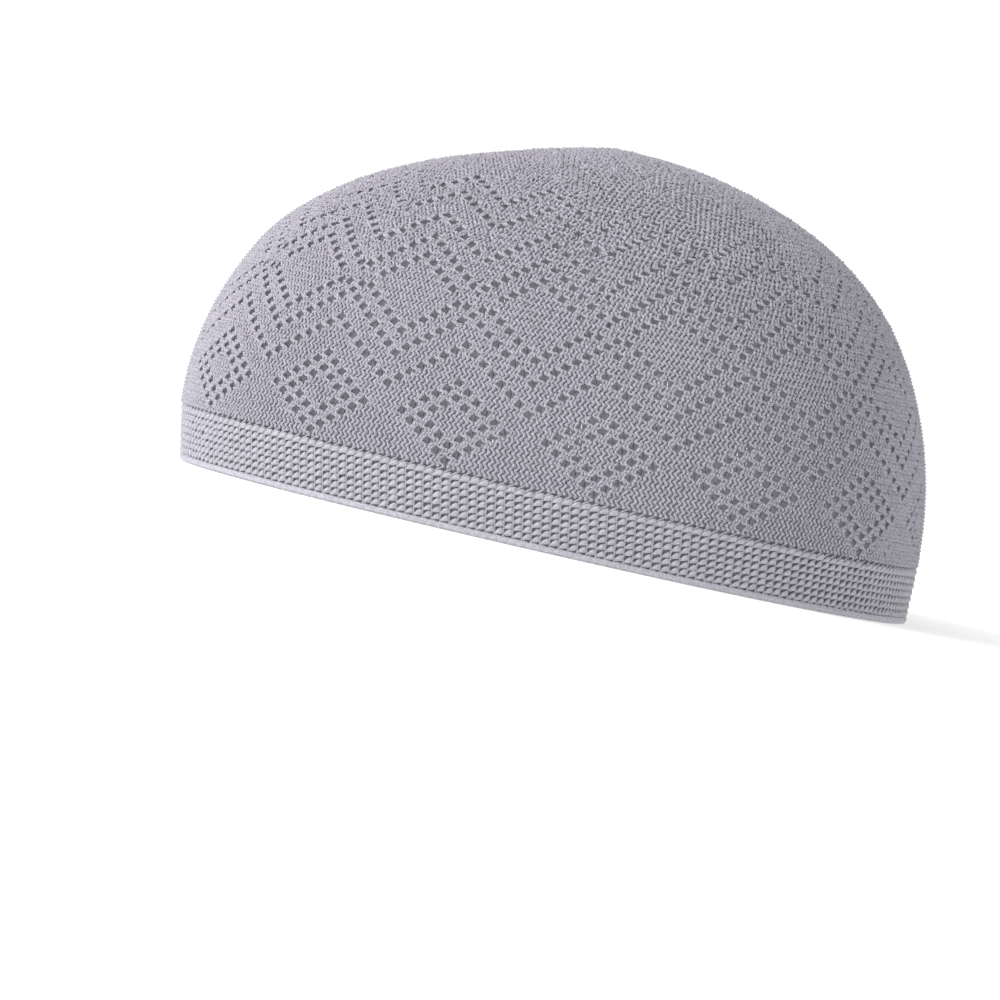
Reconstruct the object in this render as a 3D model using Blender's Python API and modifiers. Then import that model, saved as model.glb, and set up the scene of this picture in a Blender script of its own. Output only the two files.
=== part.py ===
"""Kufi cap: a brimless knitted cap with an openwork crown, a net-stitch band and a thin rim.

The frame's origin is the middle of the rim's underside. +Z is up, the front is -Y and the
wearer's left side is +X. Lengths are in metres.
"""

from math import cos, pi, sin

import bmesh
import bpy
from mathutils import Matrix, Vector

# Overall sizes of the cap as it stands on its rim
LENGTH = 0.196
WIDTH = 0.156
HEIGHT = 0.103

# Pieces, from the bottom up
RIM_HEIGHT = 0.0015
RIM_WALL = 0.0026
RIM_ROUNDING = 0.0004
BAND_HEIGHT = 0.0150
BAND_WALL = 0.0020
BAND_PROUD = 0.0003
CROWN_WALL = 0.0016
PIECE_GAP = 0.0003
SELVEDGE = 0.0006

# Plan of every level: how square the oval is, and how far it widens towards the back
PLAN_POWER = 2.15
PLAN_EGG = 0.08

# Openwork: a zigzag of eyelets between two heights above the rim's underside
PATTERN_REPEATS = 15
EYELETS_PER_REPEAT = 8
EYELET_WIDTH = 0.0021
ZIGZAG_BOTTOM = 0.0310
ZIGZAG_TOP = 0.0450

# Fineness of the facets
AROUND = 75
CROWN_LEVELS = 12
BAND_LEVELS = 2

# Levels of the dome, a row every 10 degrees from the rim to the top.
# height is a share of HEIGHT, front and back of half the LENGTH, side of half the WIDTH.
SHARE_COLUMNS = ("height", "front", "side", "back")
LEVEL_SHARES = (
    (0.000, 0.981, 0.985, 0.987),
    (0.174, 1.011, 1.000, 0.984),
    (0.342, 0.996, 0.978, 0.959),
    (0.500, 0.942, 0.920, 0.907),
    (0.643, 0.855, 0.830, 0.829),
    (0.766, 0.709, 0.705, 0.723),
    (0.866, 0.513, 0.555, 0.580),
    (0.940, 0.290, 0.390, 0.405),
    (0.985, 0.110, 0.200, 0.205),
    (1.000, 0.000, 0.000, 0.000),
)
TOP_ROW = len(LEVEL_SHARES) - 1


def table_value(column, row):
    """One entry of LEVEL_SHARES; past the top, the profile comes down on the other side."""
    if row < 0:
        return 2.0 * table_value(column, 0) - table_value(column, -row)
    if row <= TOP_ROW:
        return LEVEL_SHARES[row][SHARE_COLUMNS.index(column)]
    mirrored = 2 * TOP_ROW - row
    if column == "height":
        return table_value(column, mirrored)
    across = {"front": "back", "back": "front", "side": "side"}[column]
    return -table_value(across, mirrored)


def level_share(column, level):
    """Smooth curve through one column of LEVEL_SHARES; level runs from 0 to TOP_ROW."""
    row = min(int(level), TOP_ROW - 1)
    t = level - row
    before, start, end, after = (table_value(column, row + k) for k in (-1, 0, 1, 2))
    slope_in = (end - before) / 2.0
    slope_out = (after - start) / 2.0
    rise = end - start
    return (start + t * (slope_in + t * (3.0 * rise - 2.0 * slope_in - slope_out
                                         + t * (slope_in + slope_out - 2.0 * rise))))


def level_at_height(height):
    """Level of the dome whose height above the rim is the given one."""
    low, high = 0.0, float(TOP_ROW)
    for _ in range(40):
        middle = (low + high) / 2.0
        if level_share("height", middle) * HEIGHT < height:
            low = middle
        else:
            high = middle
    return (low + high) / 2.0


def plan_radius(angle, front, side, back):
    """Distance from the axis to the oval; angle 0 is the front, a quarter turn the left side."""
    reach = front if cos(angle) >= 0.0 else back
    along = abs(cos(angle)) / reach
    across = abs(sin(angle)) / side
    return (along ** PLAN_POWER + across ** PLAN_POWER) ** (-1.0 / PLAN_POWER)


def dome_point(angle, level, outset=0.0):
    """Point of the dome's outer surface, moved outwards by outset in plan."""
    height = level_share("height", level) * HEIGHT
    front = level_share("front", level) * LENGTH / 2.0
    side = level_share("side", level) * WIDTH / 2.0
    back = level_share("back", level) * LENGTH / 2.0
    radius = plan_radius(angle, front, side, back) + outset
    y = -radius * cos(angle)
    x = radius * sin(angle) * (1.0 + PLAN_EGG * y / (LENGTH / 2.0))
    return Vector((x, y, height))


def rim_angles(count):
    """Angles that divide the rim into count equal lengths, starting at the front."""
    fine = 1440
    points = [dome_point(2.0 * pi * k / fine, 0.0) for k in range(fine + 1)]
    lengths = [0.0]
    for k in range(fine):
        lengths.append(lengths[-1] + (points[k + 1] - points[k]).length)
    angles = []
    step = 0
    for k in range(count):
        goal = lengths[-1] * k / count
        while lengths[step + 1] <= goal:
            step += 1
        part = (goal - lengths[step]) / (lengths[step + 1] - lengths[step])
        angles.append(2.0 * pi * (step + part) / fine)
    return angles


def clear_scene():
    """Removes what a new file starts with."""
    for item in list(bpy.data.objects):
        bpy.data.objects.remove(item, do_unlink=True)


def new_collection(name):
    """Collection linked to the scene."""
    collection = bpy.data.collections.new(name)
    bpy.context.scene.collection.children.link(collection)
    return collection


def yarn_material(name, colour, roughness):
    """Plain knitted cotton."""
    material = bpy.data.materials.new(name)
    material.use_nodes = True
    shader = material.node_tree.nodes["Principled BSDF"]
    shader.inputs["Base Color"].default_value = (*colour, 1.0)
    shader.inputs["Roughness"].default_value = roughness
    shader.inputs["Metallic"].default_value = 0.0
    material.diffuse_color = (*colour, 1.0)
    return material


def loft(name, rings, top, collection):
    """Open surface through rings of equal count, listed upwards; top closes it in a fan."""
    shape = bmesh.new()
    rows = [[shape.verts.new(point) for point in ring] for ring in rings]
    count = len(rows[0])
    for lower, upper in zip(rows, rows[1:]):
        for k in range(count):
            after = (k + 1) % count
            shape.faces.new((lower[k], lower[after], upper[after], upper[k]))
    if top is not None:
        tip = shape.verts.new(top)
        for k in range(count):
            shape.faces.new((rows[-1][k], rows[-1][(k + 1) % count], tip))
    mesh = bpy.data.meshes.new(name)
    shape.to_mesh(mesh)
    shape.free()
    item = bpy.data.objects.new(name, mesh)
    collection.objects.link(item)
    mesh.shade_smooth()
    return item


def add_wall(item, thickness):
    """Gives an open surface its wall, inwards from the surface."""
    wall = item.modifiers.new("wall", "SOLIDIFY")
    wall.thickness = thickness
    wall.offset = -1.0
    wall.use_even_offset = True


def ring_at(level, outset=0.0, height=None):
    """One level of the dome as points, optionally set at another height."""
    points = [dome_point(angle, level, outset) for angle in rim_angles(AROUND)]
    if height is not None:
        for point in points:
            point.z = height
    return points


def wall_rings(bottom, top, count, outset=0.0):
    """Levels between two heights, with an upright selvedge at each end so its edge is level."""
    low = level_at_height(bottom + SELVEDGE)
    high = level_at_height(top - SELVEDGE)
    rings = [ring_at(low, outset, bottom)]
    for k in range(count + 1):
        rings.append(ring_at(low + (high - low) * k / count, outset))
    rings.append(ring_at(high, outset, top))
    return rings


def make_rim(collection, material):
    """Thin rolled edge that the cap stands on, with a flat underside."""
    outset = (RIM_WALL - CROWN_WALL) / 2.0
    rings = [ring_at(0.0, outset, height) for height in (0.0, RIM_HEIGHT)]
    item = loft("rim", rings, None, collection)
    add_wall(item, RIM_WALL)
    rounding = item.modifiers.new("rounding", "BEVEL")
    rounding.width = RIM_ROUNDING
    rounding.segments = 2
    rounding.limit_method = "ANGLE"
    item.data.materials.append(material)


def make_band(collection, material):
    """Net-stitch band above the rim."""
    rings = wall_rings(RIM_HEIGHT + PIECE_GAP, BAND_HEIGHT, BAND_LEVELS, BAND_PROUD)
    item = loft("band", rings, None, collection)
    add_wall(item, BAND_WALL)
    item.data.materials.append(material)


def surface_frame(angle, level):
    """Place on the dome with its local Z along the outward normal."""
    step = 0.01
    here = dome_point(angle, level)
    around = dome_point(angle + step, level) - dome_point(angle - step, level)
    upwards = dome_point(angle, level + step) - dome_point(angle, level - step)
    normal = around.cross(upwards).normalized()
    turn = normal.to_track_quat("Z", "Y").to_matrix().to_4x4()
    return Matrix.Translation(here) @ turn


def make_eyelet_cutter(collection):
    """All the eyelets of the zigzag as one cutter."""
    shape = bmesh.new()
    count = PATTERN_REPEATS * EYELETS_PER_REPEAT
    for k, angle in enumerate(rim_angles(count)):
        phase = (k % EYELETS_PER_REPEAT) / EYELETS_PER_REPEAT
        climb = abs(2.0 * phase - 1.0)
        height = ZIGZAG_BOTTOM + (ZIGZAG_TOP - ZIGZAG_BOTTOM) * climb
        bmesh.ops.create_cone(
            shape,
            cap_ends=True,
            segments=6,
            radius1=EYELET_WIDTH / 2.0,
            radius2=EYELET_WIDTH / 2.0,
            depth=4.0 * CROWN_WALL,
            matrix=surface_frame(angle, level_at_height(height)),
        )
    mesh = bpy.data.meshes.new("eyelet_cutter")
    shape.to_mesh(mesh)
    shape.free()
    cutter = bpy.data.objects.new("eyelet_cutter", mesh)
    collection.objects.link(cutter)
    cutter.hide_render = True
    cutter.display_type = "WIRE"
    return cutter


def make_crown(collection, cutters, material):
    """Dome above the band, pierced by the zigzag of eyelets."""
    bottom = BAND_HEIGHT + PIECE_GAP
    low = level_at_height(bottom + SELVEDGE)
    rings = [ring_at(low, 0.0, bottom)]
    for k in range(CROWN_LEVELS):
        rings.append(ring_at(low + (TOP_ROW - low) * k / CROWN_LEVELS))
    item = loft("crown", rings, (0.0, 0.0, HEIGHT), collection)
    add_wall(item, CROWN_WALL)
    openwork = item.modifiers.new("openwork", "BOOLEAN")
    openwork.operation = "DIFFERENCE"
    openwork.object = make_eyelet_cutter(cutters)
    item.data.materials.append(material)


def main():
    """Builds the cap."""
    clear_scene()
    parts = new_collection("kufi_cap")
    cutters = new_collection("cutters")
    make_rim(parts, yarn_material("rim_yarn", (0.50, 0.49, 0.54), 0.85))
    make_band(parts, yarn_material("band_yarn", (0.43, 0.42, 0.46), 0.88))
    make_crown(parts, cutters, yarn_material("crown_yarn", (0.40, 0.39, 0.43), 0.90))


main()
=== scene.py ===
"""Looks of the kufi cap: sideways-knitted openwork crown, net-stitch band and rolled lip.

Metres, +Z up, the front at -Y and the wearer's left side at +X, as in the frame.
On the dome a place is (u, s): u is the length along the rim from the front centre towards the
left side, and s is the length up the dome from the rim, along a course of the knitting.
"""

import math

import bmesh
import bpy
import numpy as np
from mathutils import Matrix, Vector


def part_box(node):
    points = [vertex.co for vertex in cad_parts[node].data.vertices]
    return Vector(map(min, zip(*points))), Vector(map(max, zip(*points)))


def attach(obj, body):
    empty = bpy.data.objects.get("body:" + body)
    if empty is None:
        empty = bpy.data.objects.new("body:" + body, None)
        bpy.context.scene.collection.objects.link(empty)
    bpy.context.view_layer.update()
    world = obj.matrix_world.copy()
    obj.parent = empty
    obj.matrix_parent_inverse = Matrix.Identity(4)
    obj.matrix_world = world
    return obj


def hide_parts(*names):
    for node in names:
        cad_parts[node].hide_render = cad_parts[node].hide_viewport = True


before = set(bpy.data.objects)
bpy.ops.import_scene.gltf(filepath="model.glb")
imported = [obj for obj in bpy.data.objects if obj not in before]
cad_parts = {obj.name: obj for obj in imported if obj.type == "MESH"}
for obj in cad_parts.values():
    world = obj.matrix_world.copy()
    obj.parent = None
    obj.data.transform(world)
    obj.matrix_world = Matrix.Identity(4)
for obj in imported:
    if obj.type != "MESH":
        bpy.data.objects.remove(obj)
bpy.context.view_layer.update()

# Dome of the cap, as in the part's source. The rows of LEVEL_SHARES go from the rim to the top:
# height is a share of HEIGHT, front and back of half the LENGTH, side of half the WIDTH.
LENGTH = 0.196
WIDTH = 0.156
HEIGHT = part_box("crown")[1].z
PLAN_POWER = 2.15
PLAN_EGG = 0.08
SHARE_COLUMNS = ("height", "front", "side", "back")
LEVEL_SHARES = np.array([
    (0.000, 0.981, 0.985, 0.987),
    (0.174, 1.011, 1.000, 0.984),
    (0.342, 0.996, 0.978, 0.959),
    (0.500, 0.942, 0.920, 0.907),
    (0.643, 0.855, 0.830, 0.829),
    (0.766, 0.709, 0.705, 0.723),
    (0.866, 0.513, 0.555, 0.580),
    (0.940, 0.290, 0.390, 0.405),
    (0.985, 0.110, 0.200, 0.205),
    (1.000, 0.000, 0.000, 0.000),
])
TOP_ROW = len(LEVEL_SHARES) - 1
POLE_TILT = math.radians(11.0)

# Crown knitting: gores of courses that run from the band to the top. A wale is one stitch along
# a course, and the end of a course is tucked under the next gore.
GORES = 15
COURSES = 28
WALE = 0.00195
CROWN_START = 0.0146
GORE_SHIFT = -0.0014
TIGHTEST = 0.92
YARN_RADIUS = 0.00060
YARN_FLATNESS = 0.62
WAVE = 0.00039
WAVE_RELIEF = 0.00024
YARN_DEPTH = 0.00034
SAMPLES_PER_WALE = 6
LONGEST_COURSE_SAMPLES = 620
TOP_ROUGHNESS = 1.2
ROUGH_START = 0.055
ROUGH_FADE = 0.025
HALF_GORE = COURSES / 2.0
TOP_CLEARANCE = 0.0012
TUCK_DEPTH = 0.0006
JITTER = 0.00006
SWELL = 0.00022
BACKING_DEPTH = 0.00082
BACKING_HALF_WALES = 186
PAST_TOP = 0.2

# Eyelets, charted as rows on both sides of a column: "tip" is a seam between gores and "valley"
# the middle of a gore; row is the wale at the column, climb the wales per eyelet away from it
EYELET_CHART = (
    ("tip", 1, 1, 5),
    ("tip", 3, 1, 3),
    ("tip", 9, -1, 3),
    ("tip", 11, -1, 5),
    ("tip", 16, -1, 7),
    ("tip", 20, -1, 7),
    ("tip", 23, -1, 7),
    ("valley", 27, -1, 7),
    ("valley", 30, -1, 7),
    ("valley", 34, -1, 7),
    ("valley", 39, -1, 5),
    ("valley", 43, -1, 5),
)
CHART_WALES = 100
CHART_MIDDLE = 7
EYELET_REACH = 0.00120
EYELET_PUSH = 0.00092
NEIGHBOUR_PUSH = 0.00032
EYELET_SWELL = 0.00010
FUNNEL_HALF_WIDTH = 0.00019
FUNNEL_END_HALF_WIDTH = 0.00008
FUNNEL_DEPTH = 0.00085
FUNNEL_VARIETY = 0.35

# Band: upright ribs, leaf-shaped rungs between them; and the rolled lip below
BAND_COLUMNS = 240
BAND_START = 0.0016
BAND_ROWS = 7
BAND_ROW_HEIGHT = 0.00176
BAND_LEAN = -0.15
BAND_BEND = 1.3
BAND_BEND_REACH = 0.0016
RIB_RADIUS = 0.00042
RIB_DEPTH = 0.00052
RIB_TOP = 0.0158
RIB_SWAY = 0.00008
RIB_RELIEF = 0.00005
RUNG_RADIUS = 0.00082
RUNG_SLANT = 0.00050
RUNG_DEPTH = 0.00066
RUNG_BULGE = 0.00036
RUNG_SLANT_JITTER = 0.00006
RUNG_JITTER = 0.00004
RUNG_PROFILE = np.array([0.28, 0.52, 0.78, 0.98, 0.88])
BAND_BACKING_DEPTH = 0.00140
LIP_HEIGHT = 0.0018
LIP_PROUD = 0.0002
LIP_SECTIONS_PER_WRAP = 6
LIP_SIDES = 7

# Gather at the top
GATHER_LOOPS = 2 * GORES
GATHER_INNER = 0.0004
GATHER_REACH = 0.0036
GATHER_RADIUS = 0.00020
GATHER_SWELL = 0.00022

# Camera: the photograph's angle, and the pixel on which the middle of the rim falls
CAMERA_DISTANCE = 1.2
CAMERA_ELEVATION = math.radians(2.2)
CAMERA_ROLL = math.radians(12.77)
METRES_PER_PIXEL = 0.00026
PICTURE_SIZE = 1000.0
RIM_MIDDLE_PIXEL = (541.0, 539.5)

rng = np.random.default_rng(7)


def share_curve(column, levels):
    """Smooth curve through one column of LEVEL_SHARES, for an array of levels."""
    index = SHARE_COLUMNS.index(column)
    over = {"height": "height", "front": "back", "back": "front", "side": "side"}[column]
    beyond = LEVEL_SHARES[TOP_ROW - 1, SHARE_COLUMNS.index(over)]
    if column != "height":
        beyond = -beyond
    values = LEVEL_SHARES[:, index]
    values = np.concatenate([[2.0 * values[0] - values[1]], values, [beyond]])
    row = np.minimum(levels.astype(int), TOP_ROW - 1)
    t = levels - row
    before, start, end, after = (values[row + k] for k in range(4))
    slope_in = (end - before) / 2.0
    slope_out = (after - start) / 2.0
    rise = end - start
    return (start + t * (slope_in + t * (3.0 * rise - 2.0 * slope_in - slope_out
                                         + t * (slope_in + slope_out - 2.0 * rise))))


LEVELS = np.linspace(0.0, TOP_ROW, 1801)
HEIGHTS = share_curve("height", LEVELS) * HEIGHT
FRONTS = share_curve("front", LEVELS) * LENGTH / 2.0
SIDES = share_curve("side", LEVELS) * WIDTH / 2.0
BACKS = share_curve("back", LEVELS) * LENGTH / 2.0


def is_inside(points):
    """Which points lie inside the dome."""
    x, y, z = points[..., 0], points[..., 1], points[..., 2]
    level = np.interp(z, HEIGHTS, LEVELS)
    front, side, back = (np.interp(level, LEVELS, reach) for reach in (FRONTS, SIDES, BACKS))
    along = np.abs(y) / np.maximum(np.where(y < 0.0, front, back), 1e-6)
    across = np.abs(x / (1.0 + PLAN_EGG * y / (LENGTH / 2.0))) / np.maximum(side, 1e-6)
    return (along ** PLAN_POWER + across ** PLAN_POWER < 1.0) & (z < HEIGHT)


def dome_along(directions):
    """Where rays from the rim's middle meet the dome."""
    low = np.full(directions.shape[:-1], 0.001)
    high = np.full(directions.shape[:-1], 0.140)
    for _ in range(30):
        middle = (low + high) / 2.0
        inside = is_inside(directions * middle[..., None])
        low = np.where(inside, middle, low)
        high = np.where(inside, high, middle)
    return directions * low[..., None]


def unit(vectors):
    """Vectors at length one."""
    return vectors / np.maximum(np.linalg.norm(vectors, axis=-1, keepdims=True), 1e-12)


def rim_line(count):
    """Directions to count equal steps round the rim, from the front, and the rim's length."""
    angle = np.linspace(0.0, 2.0 * np.pi, 5761)
    reach = np.where(np.cos(angle) >= 0.0, FRONTS[0], BACKS[0])
    radius = ((np.abs(np.cos(angle)) / reach) ** PLAN_POWER
              + (np.abs(np.sin(angle)) / SIDES[0]) ** PLAN_POWER) ** (-1.0 / PLAN_POWER)
    y = -radius * np.cos(angle)
    x = radius * np.sin(angle) * (1.0 + PLAN_EGG * y / (LENGTH / 2.0))
    lengths = np.concatenate([[0.0], np.cumsum(np.hypot(np.diff(x), np.diff(y)))])
    steps = np.arange(count) * lengths[-1] / count
    points = np.stack([np.interp(steps, lengths, x), np.interp(steps, lengths, y), 0.0 * steps], -1)
    return unit(points), lengths[-1]


class Dome:
    """The dome's surface in (u, s), read from a fine grid."""

    around_count = 840
    up_count = 560
    ray_count = 361
    level_top_share = 0.96
    level_top_fade = 0.03

    def __init__(self):
        rim, self.girth = rim_line(self.around_count)
        rise = np.linspace(0.0, np.pi / 2.0, self.ray_count)[None, :, None]
        lines = np.cos(rise) * rim[:, None, :] + np.sin(rise) * np.array([0.0, 0.0, 1.0])
        tilt = POLE_TILT * rise[..., 0] / (np.pi / 2.0)
        y = lines[..., 1] * np.cos(tilt) - lines[..., 2] * np.sin(tilt)
        z = lines[..., 1] * np.sin(tilt) + lines[..., 2] * np.cos(tilt)
        lines = unit(np.stack([lines[..., 0], y, np.maximum(z, 0.0)], -1))
        points = dome_along(lines)
        steps = np.linalg.norm(np.diff(points, axis=1), axis=-1)
        lengths = np.concatenate([np.zeros((len(rim), 1)), np.cumsum(steps, axis=1)], axis=1)
        self.total = lengths[:, -1]
        share = np.linspace(0.0, 1.0, self.up_count + 1)
        self.points = np.empty((len(rim), len(share), 3))
        for k in range(len(rim)):
            goals = share * self.total[k]
            for axis in range(3):
                self.points[k, :, axis] = np.interp(goals, lengths[k], points[k, :, axis])
        sideways = (np.roll(self.points, -1, axis=0) - np.roll(self.points, 1, axis=0)) / 2.0
        upward = np.gradient(self.points, axis=1)
        self.spread = np.linalg.norm(sideways, axis=-1) / (self.girth / self.around_count)
        normals = unit(np.cross(sideways, upward))
        top = unit(normals[:, -12].mean(axis=0))
        fade = np.clip((share - self.level_top_share) / self.level_top_fade, 0.0, 1.0)
        fade = fade[None, :, None]
        self.normals = unit(normals * (1.0 - fade) + top * fade)
        self.ups = unit(upward)

    def read(self, grid, u, s):
        """Value of a grid at places on the dome."""
        column = (u / self.girth * self.around_count) % self.around_count
        left = column.astype(int) % self.around_count
        right = (left + 1) % self.around_count
        part = column - np.floor(column)
        total = self.total[left] * (1.0 - part) + self.total[right] * part
        row = np.clip(s / total, 0.0, 1.0) * self.up_count
        low = np.minimum(row.astype(int), self.up_count - 1)
        lift = row - low
        if grid.ndim == 3:
            part = part[..., None]
            lift = lift[..., None]
        return ((grid[left, low] * (1.0 - part) + grid[right, low] * part) * (1.0 - lift)
                + (grid[left, low + 1] * (1.0 - part) + grid[right, low + 1] * part) * lift)

    def length_at(self, u):
        """Length from the rim to the top along one line."""
        column = (u / self.girth * self.around_count) % self.around_count
        return np.interp(column, np.arange(self.around_count + 1),
                         np.append(self.total, self.total[0]))

    def place(self, u, s):
        """Point on the dome, with its unit directions around, up and out."""
        point = self.read(self.points, u, s)
        out = unit(self.read(self.normals, u, s))
        up = unit(np.cross(out, unit(np.cross(self.read(self.ups, u, s), out))))
        around = np.cross(up, out)
        return point, around, up, out


dome = Dome()
REPEAT = dome.girth / GORES
COURSE = REPEAT / COURSES


def unevenness(u, s, size, seed):
    """Gentle random swell between -1 and 1, about size across, the same for the same place."""
    random = np.random.default_rng(seed)
    total = np.zeros_like(u)
    for _ in range(6):
        turn = random.integers(1, max(2, int(dome.girth / size)))
        climb = random.uniform(0.3, 1.0) / size
        total += np.sin(2.0 * np.pi * (turn * u / dome.girth + climb * s + random.uniform()))
    return total / 6.0


def new_mesh(name, points, faces, uvs=None):
    """Object from arrays of points and of faces with equal numbers of corners, or lists of both."""
    mesh = bpy.data.meshes.new(name)
    groups = faces if isinstance(faces, list) else [faces]
    corners = np.concatenate([group.ravel() for group in groups]).astype(np.int32)
    totals = np.concatenate([np.full(len(group), group.shape[1]) for group in groups])
    totals = totals.astype(np.int32)
    starts = np.concatenate([[0], np.cumsum(totals)[:-1]]).astype(np.int32)
    mesh.vertices.add(len(points))
    mesh.vertices.foreach_set("co", np.asarray(points, np.float32).ravel())
    mesh.loops.add(len(corners))
    mesh.loops.foreach_set("vertex_index", corners)
    mesh.polygons.add(len(totals))
    mesh.polygons.foreach_set("loop_start", starts)
    mesh.polygons.foreach_set("loop_total", totals)
    if uvs is not None:
        layer = mesh.uv_layers.new(name="yarn")
        layer.uv.foreach_set("vector", np.asarray(uvs, np.float32).ravel())
    mesh.update(calc_edges=True)
    mesh.validate()
    mesh.shade_smooth()
    item = bpy.data.objects.new(name, mesh)
    bpy.context.scene.collection.objects.link(item)
    return item


def tubes(name, centres, outs, radii, line, sides=3, flat=1.0):
    """Closed yarns. centres are samples in order, line says which yarn each belongs to."""
    count = len(centres)
    same = line[1:] == line[:-1]
    forward = np.zeros_like(centres)
    steps = (centres[1:] - centres[:-1]) * same[:, None]
    forward[:-1] += steps
    forward[1:] += steps
    forward = unit(forward)
    across = unit(np.cross(forward, outs))
    outward = np.cross(across, forward)
    turn = np.pi / 2.0 + 2.0 * np.pi * np.arange(sides) / sides
    ring = (np.cos(turn)[None, :, None] * across[:, None, :]
            + flat * np.sin(turn)[None, :, None] * outward[:, None, :])
    points = (centres[:, None, :] + radii[:, None, None] * ring).reshape(-1, 3)
    start = np.nonzero(same)[0]
    side = np.arange(sides)
    a = start[:, None] * sides + side
    b = start[:, None] * sides + (side + 1) % sides
    quads = np.stack([a, a + sides, b + sides, b], -1).reshape(-1, 4)
    length = np.concatenate([[0.0], np.cumsum(np.linalg.norm(steps, axis=-1))])
    along = length[start][:, None] + 0.0 * side
    after = length[start + 1][:, None] + 0.0 * side
    v = side[None, :] / sides + 0.0 * along
    uv = np.stack([np.stack([along, v], -1), np.stack([after, v], -1),
                   np.stack([after, v + 1.0 / sides], -1), np.stack([along, v + 1.0 / sides], -1)],
                  -2).reshape(-1, 2)
    firsts = np.concatenate([[0], np.nonzero(~same)[0] + 1])
    lasts = np.concatenate([np.nonzero(~same)[0], [count - 1]])
    caps = np.concatenate([firsts[:, None] * sides + side, lasts[:, None] * sides + side[::-1]])
    cap_uv = np.stack([np.repeat(length[np.concatenate([firsts, lasts])], sides),
                       np.tile(side / sides, 2 * len(firsts))], -1)
    return new_mesh(name, points, [quads, caps], np.concatenate([uv, cap_uv]) * (1000.0, 1.0))


def eyelet_table():
    """Whether an eyelet stands at [column from the gore's middle + CHART_MIDDLE, wale].

    A column is two courses wide. Where two lines cross, an eyelet right above another in its
    column is left out.
    """
    table = np.zeros((2 * CHART_MIDDLE + 1, CHART_WALES), bool)
    for column, row, climb, reach in EYELET_CHART:
        for step in range(reach + 1):
            offset = step if column == "valley" else CHART_MIDDLE - step
            for side in (-1, 1):
                table[CHART_MIDDLE + side * offset, row + climb * step] = True
    table[:, 1:] &= ~table[:, :-1]
    return table


EYELETS = eyelet_table()


def chart_column(even):
    """Column of the eyelet table for an even course, counted from the gore's middle."""
    return np.clip((even / 2.0 + CHART_MIDDLE).astype(int), 0, 2 * CHART_MIDDLE)


def narrowing(middle, s):
    """How many courses' room one course takes at s, so that the courses stay as wide to the top."""
    spread = dome.read(dome.spread, middle + 0.0 * s, s)
    return np.maximum(1.0, TIGHTEST / np.maximum(spread, 1e-3))


def eyelet_pull(c, s):
    """Sideways push on a course by the eyelets beside it, and how open the knitting is there."""
    wale = (s - CROWN_START) / WALE
    row = np.clip(np.round(wale).astype(int), 0, CHART_WALES - 1)
    ds = (wale - row) * WALE
    window = np.cos(np.pi / 2.0 * np.clip(ds / EYELET_REACH, -1.0, 1.0)) ** 0.8
    push = np.zeros_like(s)
    open_here = np.zeros_like(s)
    base = 2.0 * np.floor(c / 2.0)
    for even in (base, base + 2.0):
        distance = c - even
        here = EYELETS[chart_column(even), row] * window * (np.abs(even) <= HALF_GORE)
        near = np.abs(distance) < 1.0
        push += np.sign(distance) * here * np.where(near, EYELET_PUSH, NEIGHBOUR_PUSH)
        open_here = np.maximum(open_here, here * np.where(near, 1.0, 0.35))
    return push, open_here


def course_samples(gore, c):
    """Samples of one course as (u of the centre line, s), up to where it ends in the seam."""
    middle = (gore + 0.5) * REPEAT + GORE_SHIFT
    s = CROWN_START + (np.arange(LONGEST_COURSE_SAMPLES) + 0.5) * WALE / SAMPLES_PER_WALE
    room = narrowing(middle, s)
    u = middle + c * COURSE * room
    keep = (np.abs(c) * room < HALF_GORE + 0.25) & (s < dome.length_at(u) - TOP_CLEARANCE)
    stop = len(s) if keep.all() else int(np.argmin(keep))
    return u[:stop], s[:stop]


def crown_yarns(name, gores):
    """Wavy courses of some gores, pushed apart round the eyelets."""
    us, ss, cs, lines, ends = [], [], [], [], []
    for gore in gores:
        for c in np.arange(0.5 - HALF_GORE, HALF_GORE):
            u, s = course_samples(gore, c)
            us.append(u)
            ss.append(s)
            cs.append(np.full(len(u), c))
            lines.append(np.full(len(u), len(lines)))
            ends.append(len(u) - 1.0 - np.arange(len(u)))
    u, s, c, line, end = (np.concatenate(item) for item in (us, ss, cs, lines, ends))
    push, opened = eyelet_pull(c, s)
    phase = 2.0 * np.pi * (s - CROWN_START) / WALE
    wave = WAVE * (1.0 - 0.70 * opened) * (1.0 + 0.10 * unevenness(u, s, 0.012, 3))
    rough = 1.0 + TOP_ROUGHNESS * np.clip((s - ROUGH_START) / ROUGH_FADE, 0.0, 1.0)
    jitter = rng.normal(0.0, JITTER, (len(u), 3)) * rough[:, None]
    point, around, up, out = dome.place(u, s)
    depth = (-YARN_DEPTH - WAVE_RELIEF * np.cos(2.0 * phase) + EYELET_SWELL * opened
             + SWELL * unevenness(u, s, 0.030, 5))
    tuck = np.clip(1.0 - end / 4.0, 0.0, 1.0)
    depth = depth - TUCK_DEPTH * tuck
    sideways = wave * np.sin(phase) + push + jitter[:, 0]
    centre = (point + around * sideways[:, None] + up * jitter[:, 1:2]
              + out * (depth + jitter[:, 2])[:, None])
    radius = YARN_RADIUS * (1.0 - 0.12 * opened) * (1.0 - 0.35 * tuck)
    radius = radius * (1.0 + 0.05 * unevenness(u, s, 0.006, 9))
    radius = radius * rng.normal(1.0, 0.04, int(line.max()) + 1)[line]
    return tubes(name, centre, out, radius, line, flat=YARN_FLATNESS)


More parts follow.
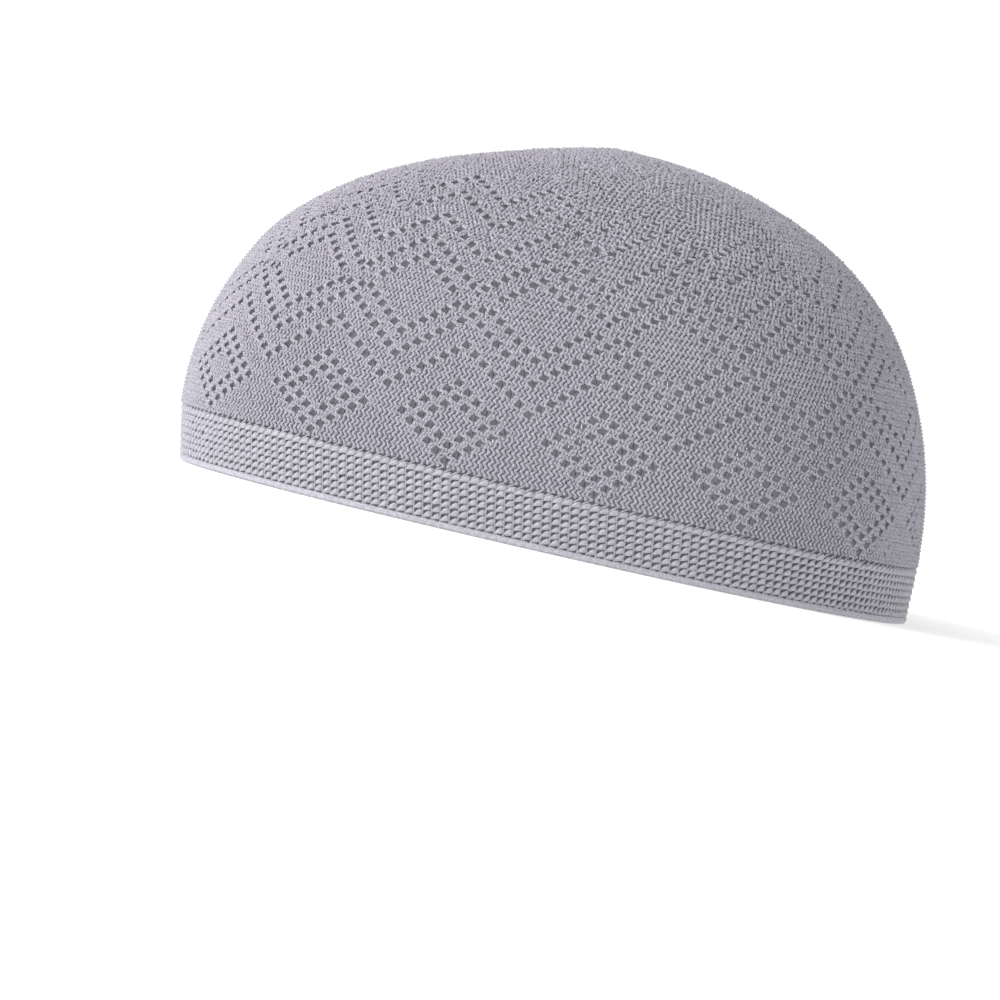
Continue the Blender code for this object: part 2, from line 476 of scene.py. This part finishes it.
def funnel(columns, wales, swell):
    """Sideways pull and sinking of the backing's points, which narrow each eyelet to a funnel."""
    cc, tt = np.meshgrid(columns, wales)
    even = 2.0 * np.round(cc / 2.0)
    beside = (np.abs(np.abs(cc - even) - 0.5) < 0.1) & (np.abs(cc) < HALF_GORE)
    index = chart_column(even)
    below = np.clip(np.floor(tt + 0.01).astype(int), 0, CHART_WALES - 1)
    above = np.clip(np.ceil(tt - 0.01).astype(int), 0, CHART_WALES - 1)
    level = below == above
    middle = EYELETS[index, below] & level & beside
    end = (EYELETS[index, below] | EYELETS[index, above]) & ~level & beside
    half_course = COURSE / 2.0
    width = np.where(end, FUNNEL_END_HALF_WIDTH, half_course)
    width = np.where(middle, FUNNEL_HALF_WIDTH, width)
    width = np.where(middle | end, width * (1.0 + FUNNEL_VARIETY * swell), width)
    pull = np.sign(cc - even) * (width - half_course)
    return pull, FUNNEL_DEPTH * (middle + 0.5 * end)


def crown_backing(name):
    """Inner sides of the stitches behind the courses, open at every eyelet."""
    columns = np.arange(0.5 - HALF_GORE, HALF_GORE)
    columns = np.concatenate([[-HALF_GORE], columns, [HALF_GORE]])
    wales = np.arange(BACKING_HALF_WALES) / 2.0
    s = np.concatenate([CROWN_START + wales * WALE, [PAST_TOP]])
    wales = np.concatenate([wales, [CHART_WALES - 1.0]])
    points, faces = [], []
    for gore in range(GORES):
        middle = (gore + 0.5) * REPEAT + GORE_SHIFT
        room = narrowing(middle, s)[:, None]
        cc, ss = np.meshgrid(columns, s)
        uu = middle + np.clip(cc * room, -HALF_GORE, HALF_GORE) * COURSE
        pull, sink = funnel(columns, wales, unevenness(uu, ss, 0.008, 13))
        ss = np.minimum(ss, dome.length_at(uu))
        point, around, _, out = dome.place(uu, ss)
        grid = point + around * pull[..., None] - out * (BACKING_DEPTH + sink)[..., None]
        index = gore * cc.size + np.arange(cc.size).reshape(cc.shape)
        quads = np.stack([index[:-1, :-1], index[:-1, 1:], index[1:, 1:], index[1:, :-1]], -1)
        centre = (cc[:-1, :-1] + cc[1:, 1:]) / 2.0
        row = np.clip(np.round((wales[:-1] + wales[1:]) / 2.0).astype(int), 0, CHART_WALES - 1)
        even = 2.0 * np.round(centre / 2.0)
        hole = EYELETS[chart_column(even), row[:, None]] & (np.abs(centre - even) < 0.3)
        past = np.abs(cc) * room > HALF_GORE
        past = past[:-1, :-1] & past[:-1, 1:] & past[1:, :-1] & past[1:, 1:]
        points.append(grid.reshape(-1, 3))
        faces.append(quads[~hole & ~past].reshape(-1, 4))
    item = new_mesh(name, np.concatenate(points), np.concatenate(faces))
    shape = bmesh.new()
    shape.from_mesh(item.data)
    bmesh.ops.remove_doubles(shape, verts=shape.verts, dist=0.00002)
    bmesh.ops.delete(shape, geom=[v for v in shape.verts if not v.link_faces], context="VERTS")
    shape.to_mesh(item.data)
    shape.free()
    item.data.shade_smooth()
    return item


def band_u(column, s):
    """Place round the rim of a band column at s.

    The columns lean towards the front, and bend back where the band meets the crown.
    """
    bend = np.maximum(s - (CROWN_START - BAND_BEND_REACH), 0.0)
    return column * dome.girth / BAND_COLUMNS + BAND_LEAN * s + BAND_BEND * bend


def band_ribs(name):
    """Upright ribs of the band, one between every two stacks of rungs."""
    steps_per_row = 3
    count = BAND_ROWS * steps_per_row + 4
    column, step = np.meshgrid(np.arange(BAND_COLUMNS), np.arange(count), indexing="ij")
    column, step = column.ravel(), step.ravel()
    s = BAND_START - 0.0006 + (RIB_TOP - BAND_START) * step / (count - 1)
    phase = 2.0 * np.pi * (s - BAND_START) / BAND_ROW_HEIGHT
    u = band_u(column, s)
    point, around, _, out = dome.place(u, s)
    centre = (point + around * (RIB_SWAY * np.sin(phase))[:, None]
              + out * (RIB_RELIEF * np.cos(phase) - RIB_DEPTH)[:, None])
    radius = RIB_RADIUS * (1.0 + 0.07 * unevenness(u, s, 0.005, 21))
    return tubes(name, centre, out, radius, column, sides=3, flat=0.75)


def band_rungs(name):
    """Leaf-shaped stitches that rise from each rib to the next."""
    column, row, step = np.meshgrid(np.arange(BAND_COLUMNS), np.arange(BAND_ROWS), np.arange(5),
                                    indexing="ij")
    column, row, step = column.ravel(), row.ravel(), step.ravel()
    t = step / 4.0
    line = column * BAND_ROWS + row
    jitter = rng.normal(0.0, 1.0, (BAND_COLUMNS * BAND_ROWS, 2))[line]
    radius = RUNG_RADIUS * RUNG_PROFILE[step] * (1.0 + 0.04 * jitter[:, 1])
    slant = RUNG_SLANT + RUNG_SLANT_JITTER * jitter[:, 0]
    s = BAND_START + BAND_ROW_HEIGHT * row + radius + slant * t + RUNG_JITTER * jitter[:, 1]
    u = band_u(column + 0.02 + 0.92 * t, s)
    point, _, _, out = dome.place(u, s)
    bulge = np.sin(np.pi * (0.04 + 0.92 * t))
    centre = point + out * (RUNG_BULGE * bulge - RUNG_DEPTH)[:, None]
    return tubes(name, centre, out, radius, line, sides=5, flat=0.58)


def band_backing(name):
    """Inner side of the band's stitches; its dark material is painted shade in the band's gaps."""
    columns = 2 * BAND_COLUMNS
    s = np.linspace(0.0008, CROWN_START + 0.0006, 10)
    u = np.arange(columns) * dome.girth / columns
    uu, ss = np.meshgrid(u, s, indexing="ij")
    point, _, _, out = dome.place(uu, ss)
    grid = point - out * BAND_BACKING_DEPTH
    index = np.arange(grid.shape[0] * grid.shape[1]).reshape(grid.shape[:2])
    after = np.roll(index, -1, axis=0)
    faces = np.stack([index[:, :-1], after[:, :-1], after[:, 1:], index[:, 1:]], -1).reshape(-1, 4)
    return new_mesh(name, grid.reshape(-1, 3), faces)


def lip(name):
    """Rolled edge, a fine rope of slanted wraps."""
    sections = BAND_COLUMNS * LIP_SECTIONS_PER_WRAP
    k, side = np.meshgrid(np.arange(sections), np.arange(LIP_SIDES), indexing="ij")
    u = k * dome.girth / sections
    turn = 2.0 * np.pi * side / LIP_SIDES
    point, _, _, out = dome.place(u, 0.0 * u)
    wrap = 0.5 + 0.5 * np.cos(2.0 * np.pi * k / LIP_SECTIONS_PER_WRAP - turn)
    radius = 0.80 + 0.20 * wrap ** 0.5 + 0.08 * unevenness(u, 0.0 * u, 0.003, 31)
    half = LIP_HEIGHT / 2.0
    z = half + half * radius * np.sin(turn)
    outset = LIP_PROUD - half + half * radius * np.cos(turn)
    level = out.copy()
    level[..., 2] = 0.0
    level = unit(level)
    grid = point + level * outset[..., None]
    grid[..., 2] = np.maximum(z, 0.0)
    index = np.arange(sections * LIP_SIDES).reshape(sections, LIP_SIDES)
    right = np.roll(index, -1, axis=0)
    above = np.roll(index, -1, axis=1)
    both = np.roll(right, -1, axis=1)
    faces = np.stack([index, right, both, above], -1).reshape(-1, 4)
    return new_mesh(name, grid.reshape(-1, 3), faces)


def crown_gather(name):
    """Drawn-up loops that close the top."""
    top = dome.read(dome.points, np.array([0.0]), np.array([1.0]))[0]
    axis = Vector(dome.read(dome.normals, np.array([0.0]), np.array([1.0]))[0])
    side = axis.orthogonal().normalized()
    other = axis.cross(side)
    centres, outs, line, radii = [], [], [], []
    for k in range(GATHER_LOOPS):
        angle = 2.0 * math.pi * k / GATHER_LOOPS
        way = math.cos(angle) * side + math.sin(angle) * other
        for step in range(9):
            t = step / 8.0
            reach = GATHER_INNER + GATHER_REACH * t + 0.00008 * (k % 3)
            height = -0.0004 + 0.0006 * math.sin(math.pi * t) - 0.0008 * t + 0.00010 * (step % 2)
            swirl = (math.cos(0.5 * t) * way + math.sin(0.5 * t) * axis.cross(way))
            centres.append(Vector(top) + reach * swirl + height * axis)
            outs.append(axis)
            line.append(k)
            radii.append(GATHER_RADIUS + GATHER_SWELL * t)
    return tubes(name, *(np.array(item) for item in (centres, outs, radii, line)), sides=4)


def new_material(name):
    """Empty node material, with its nodes and links."""
    material = bpy.data.materials.new(name)
    material.use_nodes = True
    nodes = material.node_tree.nodes
    nodes.clear()
    return material, nodes, material.node_tree.links


def yarn_material(name, colour, warm, translucency, plies, fuzz):
    """Cotton yarn with plied twist, fuzz, mottling from colour to warm, and light through it."""
    material, nodes, links = new_material(name)
    output = nodes.new("ShaderNodeOutputMaterial")
    shader = nodes.new("ShaderNodeBsdfPrincipled")
    shader.inputs["Roughness"].default_value = 0.86
    shader.inputs["Specular IOR Level"].default_value = 0.25
    shader.inputs["Sheen Weight"].default_value = 0.7
    shader.inputs["Sheen Tint"].default_value = (0.94, 0.88, 1.0, 1.0)
    shader.inputs["Sheen Roughness"].default_value = 0.45
    through = nodes.new("ShaderNodeBsdfTranslucent")
    mix = nodes.new("ShaderNodeMixShader")
    mix.inputs["Fac"].default_value = translucency

    where = nodes.new("ShaderNodeTexCoord")
    broad = nodes.new("ShaderNodeTexNoise")
    broad.inputs["Scale"].default_value = 45.0
    broad.inputs["Detail"].default_value = 3.0
    fine = nodes.new("ShaderNodeTexNoise")
    fine.inputs["Scale"].default_value = 2000.0
    fine.inputs["Detail"].default_value = 3.0
    links.new(where.outputs["Object"], broad.inputs["Vector"])
    links.new(where.outputs["Object"], fine.inputs["Vector"])

    tint = nodes.new("ShaderNodeMix")
    tint.data_type = "RGBA"
    tint.inputs["A"].default_value = (*colour, 1.0)
    tint.inputs["B"].default_value = (*warm, 1.0)
    links.new(broad.outputs["Fac"], tint.inputs["Factor"])
    spread = nodes.new("ShaderNodeMapRange")
    spread.inputs["From Min"].default_value = 0.3
    spread.inputs["From Max"].default_value = 0.7
    spread.inputs["To Min"].default_value = 0.78
    spread.inputs["To Max"].default_value = 1.18
    links.new(fine.outputs["Fac"], spread.inputs["Value"])
    shade = nodes.new("ShaderNodeVectorMath")
    shade.operation = "SCALE"
    links.new(tint.outputs["Result"], shade.inputs[0])
    links.new(spread.outputs["Result"], shade.inputs["Scale"])
    links.new(shade.outputs["Vector"], shader.inputs["Base Color"])
    links.new(shade.outputs["Vector"], through.inputs["Color"])

    height = fine.outputs["Fac"]
    if plies:
        uv = nodes.new("ShaderNodeUVMap")
        uv.uv_map = "yarn"
        stretch = nodes.new("ShaderNodeMapping")
        stretch.inputs["Scale"].default_value = (0.9, plies, 1.0)
        wave = nodes.new("ShaderNodeTexWave")
        wave.bands_direction = "DIAGONAL"
        wave.inputs["Scale"].default_value = 0.32
        wave.inputs["Distortion"].default_value = 0.6
        links.new(uv.outputs["UV"], stretch.inputs["Vector"])
        links.new(stretch.outputs["Vector"], wave.inputs["Vector"])
        blend = nodes.new("ShaderNodeMath")
        blend.operation = "MULTIPLY_ADD"
        blend.inputs[1].default_value = 0.8
        links.new(wave.outputs["Fac"], blend.inputs[0])
        links.new(fine.outputs["Fac"], blend.inputs[2])
        height = blend.outputs["Value"]
    bump = nodes.new("ShaderNodeBump")
    bump.inputs["Strength"].default_value = fuzz
    bump.inputs["Distance"].default_value = 0.00016
    links.new(height, bump.inputs["Height"])
    links.new(bump.outputs["Normal"], shader.inputs["Normal"])

    links.new(shader.outputs["BSDF"], mix.inputs[1])
    links.new(through.outputs["BSDF"], mix.inputs[2])
    links.new(mix.outputs["Shader"], output.inputs["Surface"])
    return material


def backing_material(name, colour, translucency):
    """Inner side of the knitting: small V stitches in rows, seen through gaps."""
    material, nodes, links = new_material(name)
    output = nodes.new("ShaderNodeOutputMaterial")
    shader = nodes.new("ShaderNodeBsdfPrincipled")
    shader.inputs["Roughness"].default_value = 0.92
    shader.inputs["Specular IOR Level"].default_value = 0.15
    shader.inputs["Sheen Weight"].default_value = 0.2
    through = nodes.new("ShaderNodeBsdfTranslucent")
    mix = nodes.new("ShaderNodeMixShader")
    mix.inputs["Fac"].default_value = translucency
    where = nodes.new("ShaderNodeTexCoord")
    cells = nodes.new("ShaderNodeTexVoronoi")
    cells.inputs["Scale"].default_value = 900.0
    fine = nodes.new("ShaderNodeTexNoise")
    fine.inputs["Scale"].default_value = 2200.0
    links.new(where.outputs["Object"], cells.inputs["Vector"])
    links.new(where.outputs["Object"], fine.inputs["Vector"])
    ramp = nodes.new("ShaderNodeMapRange")
    ramp.inputs["To Min"].default_value = 0.8
    ramp.inputs["To Max"].default_value = 1.1
    links.new(fine.outputs["Fac"], ramp.inputs["Value"])
    shade = nodes.new("ShaderNodeVectorMath")
    shade.operation = "SCALE"
    shade.inputs[0].default_value = colour
    links.new(ramp.outputs["Result"], shade.inputs["Scale"])
    links.new(shade.outputs["Vector"], shader.inputs["Base Color"])
    links.new(shade.outputs["Vector"], through.inputs["Color"])
    bump = nodes.new("ShaderNodeBump")
    bump.inputs["Strength"].default_value = 0.7
    bump.inputs["Distance"].default_value = 0.0003
    bump.invert = True
    links.new(cells.outputs["Distance"], bump.inputs["Height"])
    links.new(bump.outputs["Normal"], shader.inputs["Normal"])
    links.new(shader.outputs["BSDF"], mix.inputs[1])
    links.new(through.outputs["BSDF"], mix.inputs[2])
    links.new(mix.outputs["Shader"], output.inputs["Surface"])
    return material


def floor_material():
    """Plain white studio floor."""
    material, nodes, links = new_material("studio_floor")
    output = nodes.new("ShaderNodeOutputMaterial")
    shader = nodes.new("ShaderNodeBsdfPrincipled")
    shader.inputs["Base Color"].default_value = (0.97, 0.97, 0.97, 1.0)
    shader.inputs["Roughness"].default_value = 0.9
    shader.inputs["Specular IOR Level"].default_value = 0.1
    shader.inputs["Emission Color"].default_value = (1.0, 1.0, 1.0, 1.0)
    shader.inputs["Emission Strength"].default_value = 0.28
    links.new(shader.outputs["BSDF"], output.inputs["Surface"])
    return material


def dress(item, node, material):
    """Gives a piece its material and its body, and hides the CAD part of the node that it stands
    for.
    """
    item.data.materials.append(material)
    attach(item, "root")
    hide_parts(node)


def make_cap():
    """All the pieces of the cap."""
    grey = (0.618, 0.608, 0.662)
    lilac = (0.672, 0.654, 0.716)
    # Darker copies of the grey and lilac for the band and the lip are painted shade: the same yarn
    # as the crown, coloured darker so that the band and the lip look shadier.
    shaded_grey = (0.520, 0.512, 0.552)
    shaded_lilac = (0.568, 0.555, 0.602)
    crown_yarn = yarn_material("crown_yarn", grey, lilac, 0.40, 3.0, 0.6)
    band_yarn = yarn_material("band_yarn", shaded_grey, shaded_lilac, 0.22, 3.0, 0.6)
    rim_yarn = yarn_material("rim_yarn", shaded_grey, shaded_lilac, 0.20, 0.0, 0.6)
    inner_yarn = backing_material("inner_yarn", (0.620, 0.608, 0.650), 0.62)
    # The band's inner loops are painted shade: a dark grey sheet that shows as shadow in the band's
    # gaps.
    band_inner_shade = backing_material("band_inner_shade", (0.400, 0.392, 0.420), 0.20)

    for number in range(5):
        gores = range(3 * number, 3 * number + 3)
        piece = crown_yarns(f"crown_courses_{number + 1}", gores)
        dress(piece, "crown", crown_yarn)
    dress(crown_backing("crown_inner_loops"), "crown", inner_yarn)
    dress(crown_gather("crown_gather"), "crown", crown_yarn)
    dress(band_ribs("band_ribs"), "band", band_yarn)
    dress(band_rungs("band_rungs"), "band", band_yarn)
    dress(band_backing("band_inner_loops"), "band", band_inner_shade)
    dress(lip("rolled_lip"), "rim", rim_yarn)


def make_floor():
    """Round floor, wide enough to meet the white surroundings."""
    shape = bmesh.new()
    bmesh.ops.create_circle(shape, cap_ends=True, segments=96, radius=4.0)
    mesh = bpy.data.meshes.new("studio_floor")
    shape.to_mesh(mesh)
    shape.free()
    mesh.materials.append(floor_material())
    floor = bpy.data.objects.new("studio_floor", mesh)
    floor.location.z = -0.0001
    bpy.context.scene.collection.objects.link(floor)


def area_light(name, place, target, size, power, colour):
    """Square soft box that faces the target."""
    data = bpy.data.lights.new(name, "AREA")
    data.size = size
    data.energy = power
    data.color = colour
    light = bpy.data.objects.new(name, data)
    light.location = place
    light.rotation_mode = "QUATERNION"
    light.rotation_quaternion = (Vector(target) - Vector(place)).to_track_quat("-Z", "Y")
    bpy.context.scene.collection.objects.link(light)


def make_light():
    """White surroundings, dimmer overhead, and a soft key light from the left of the picture."""
    world = bpy.data.worlds.new("studio")
    world.use_nodes = True
    nodes = world.node_tree.nodes
    links = world.node_tree.links
    background = nodes["Background"]
    background.inputs["Color"].default_value = (1.0, 1.0, 1.0, 1.0)
    where = nodes.new("ShaderNodeTexCoord")
    split = nodes.new("ShaderNodeSeparateXYZ")
    dimming = nodes.new("ShaderNodeMapRange")
    dimming.inputs["From Min"].default_value = 0.25
    dimming.inputs["From Max"].default_value = 1.0
    dimming.inputs["To Min"].default_value = 1.06
    dimming.inputs["To Max"].default_value = 0.48
    links.new(where.outputs["Generated"], split.inputs["Vector"])
    links.new(split.outputs["Z"], dimming.inputs["Value"])
    links.new(dimming.outputs["Result"], background.inputs["Strength"])
    bpy.context.scene.world = world
    area_light("key", (0.6, -1.5, 0.9), (0.0, 0.0, 0.05), 1.5, 32.0, (0.97, 0.96, 1.0))
    bpy.context.scene.view_settings.view_transform = "Standard"


def make_camera():
    """Camera at the photograph's angle: level with the rim, rolled, looking along -X."""
    half = PICTURE_SIZE / 2.0
    ahead = Vector((-math.cos(CAMERA_ELEVATION), 0.0, -math.sin(CAMERA_ELEVATION)))
    right = Vector((0.0, 1.0, 0.0))
    up = right.cross(ahead)
    picture_right = math.cos(CAMERA_ROLL) * right + math.sin(CAMERA_ROLL) * up
    picture_up = -math.sin(CAMERA_ROLL) * right + math.cos(CAMERA_ROLL) * up
    place = -ahead * CAMERA_DISTANCE
    target = ((half - RIM_MIDDLE_PIXEL[0]) * picture_right
              + (RIM_MIDDLE_PIXEL[1] - half) * picture_up) * METRES_PER_PIXEL
    backwards = (place - target).normalized()
    side = picture_up.cross(backwards).normalized()
    top = backwards.cross(side)
    data = bpy.data.cameras.new("camera")
    data.sensor_width = 36.0
    data.lens = data.sensor_width * CAMERA_DISTANCE / (PICTURE_SIZE * METRES_PER_PIXEL)
    data.clip_start = 0.05
    data.clip_end = 20.0
    camera = bpy.data.objects.new("camera", data)
    turn = Matrix((side, top, backwards)).transposed().to_4x4()
    camera.matrix_world = Matrix.Translation(place) @ turn
    bpy.context.scene.collection.objects.link(camera)
    bpy.context.scene.camera = camera


make_camera()
make_light()
make_floor()
make_cap()
